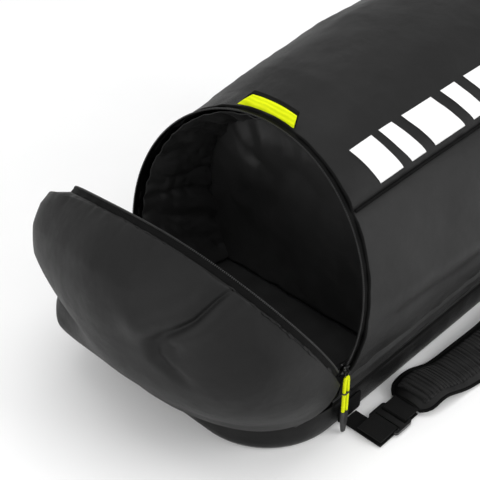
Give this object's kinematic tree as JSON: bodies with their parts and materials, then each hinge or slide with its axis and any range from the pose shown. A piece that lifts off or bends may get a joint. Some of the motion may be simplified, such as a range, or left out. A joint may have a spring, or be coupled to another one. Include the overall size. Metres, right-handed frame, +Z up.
{
  "type": "racket tournament bag",
  "caption": "Long vaulted racket bag with an arched end flap that unzips to a shoe compartment, side racket zips, padded straps and carry handles.",
  "frame": {"origin": "on the floor under the middle of the base panel", "axes": "+X along the bag away from the shoe end, +Y to the far side, +Z up from the base"},
  "size_m": [0.9105, 0.58, 0.3791],
  "materials": {
    "shell_fabric": "matte coated",
    "lining": "thin shiny",
    "binding": "matte",
    "webbing": "woven",
    "zip_tape": "woven",
    "zip_teeth": "satin",
    "slider_metal": "satin black",
    "neon_cord": "braided",
    "neon_tape": "woven",
    "moulded_rubber": "matte",
    "buckle_plastic": "satin",
    "pad_foam": "matte",
    "air_mesh": "ribbed mesh",
    "board": "matte"
  },
  "bodies": {
    "bag": {"base_panel": "shell_fabric", "base_board": "board", "lower_gusset": "shell_fabric", "toe_boot": "shell_fabric", "top_panel": "shell_fabric", "near_side_panel": "shell_fabric", "far_side_panel": "shell_fabric", "rear_end_panel": "shell_fabric", "shoe_pocket_lining": "lining", "lower_divider": "lining", "upper_divider": "lining", "mouth_zip_body_tape": "zip_tape", "mouth_zip_body_teeth": "zip_teeth", "mouth_zip_end_stops": "slider_metal", "mouth_piping": "binding", "near_seam_piping": "binding", "far_seam_piping": "binding", "grab_tab_facing": "neon_tape", "grab_tab_backing": "webbing", "racket_zip_lower_tape": "zip_tape", "racket_zip_upper_tape": "zip_tape", "racket_zip_coil": "zip_teeth", "rear_handle_webbing": "webbing", "rear_handle_grip": "moulded_rubber", "carry_handle_webbing": "webbing", "carry_handle_grip": "moulded_rubber", "strap_anchor_patches": "binding", "near_strap_pad": "pad_foam", "near_strap_mesh": "air_mesh", "near_ladder_buckle": "buckle_plastic", "near_strap_webbing": "webbing", "near_strap_tail": "webbing", "near_strap_anchor_webbing": "webbing", "far_strap_pad": "pad_foam", "far_strap_mesh": "air_mesh", "far_ladder_buckle": "buckle_plastic", "far_strap_webbing": "webbing", "far_strap_tail": "webbing", "far_strap_anchor_webbing": "webbing"},
    "end_flap": {"flap_panel": "shell_fabric", "mouth_zip_flap_tape": "zip_tape", "mouth_zip_flap_teeth": "zip_teeth"},
    "mouth_slider": {"mouth_slider": "slider_metal"},
    "mouth_pull": {"mouth_pull_link": "slider_metal", "mouth_pull_cord": "neon_cord", "mouth_pull_band": "moulded_rubber", "mouth_pull_tip": "moulded_rubber"},
    "near_racket_slider": {"near_racket_slider": "slider_metal"},
    "near_racket_pull": {"near_racket_pull_link": "slider_metal", "near_racket_pull_cord": "neon_cord", "near_racket_pull_band": "moulded_rubber", "near_racket_pull_tip": "moulded_rubber"},
    "far_racket_slider": {"far_racket_slider": "slider_metal"},
    "far_racket_pull": {"far_racket_pull_link": "slider_metal", "far_racket_pull_cord": "neon_cord", "far_racket_pull_band": "moulded_rubber", "far_racket_pull_tip": "moulded_rubber"}
  },
  "joints": [
    {"name": "end_flap_fold", "type": "hinge", "parent": "bag", "child": "end_flap", "pos_m": [-0.28, 0, 0.1], "axis": [0, 1, 0], "range_deg": [0, 45.3]},
    {"name": "mouth_slider_travel", "type": "hinge", "parent": "bag", "child": "mouth_slider", "pos_m": [-0.26482, 0, 0.16423], "axis": [-0.9732, 0, 0.23], "range_deg": [0, 212.61]},
    {"name": "mouth_pull_swing", "type": "hinge", "parent": "mouth_slider", "child": "mouth_pull", "pos_m": [-0.27816, -0.1983, 0.1078], "axis": [0.9732, 0, -0.23], "range_deg": [-147.45, 0]},
    {"name": "near_racket_slider_travel", "type": "slide", "parent": "bag", "child": "near_racket_slider", "axis": [-1, 0, 0], "range_m": [0, 0.43]},
    {"name": "near_racket_pull_swing", "type": "hinge", "parent": "near_racket_slider", "child": "near_racket_pull", "pos_m": [0.25, -0.191, 0.052], "axis": [1, 0, 0], "range_deg": [-150, 0]},
    {"name": "far_racket_slider_travel", "type": "slide", "parent": "bag", "child": "far_racket_slider", "axis": [-1, 0, 0], "range_m": [0, 0.43]},
    {"name": "far_racket_pull_swing", "type": "hinge", "parent": "far_racket_slider", "child": "far_racket_pull", "pos_m": [0.25, 0.191, 0.052], "axis": [1, 0, 0], "range_deg": [0, 150]}
  ],
  "couplings": [
    {"joint": "mouth_slider_travel", "follows": "end_flap_fold", "ratio": 4.6932},
    {"joint": "mouth_pull_swing", "follows": "end_flap_fold", "ratio": -3.2539}
  ]
}
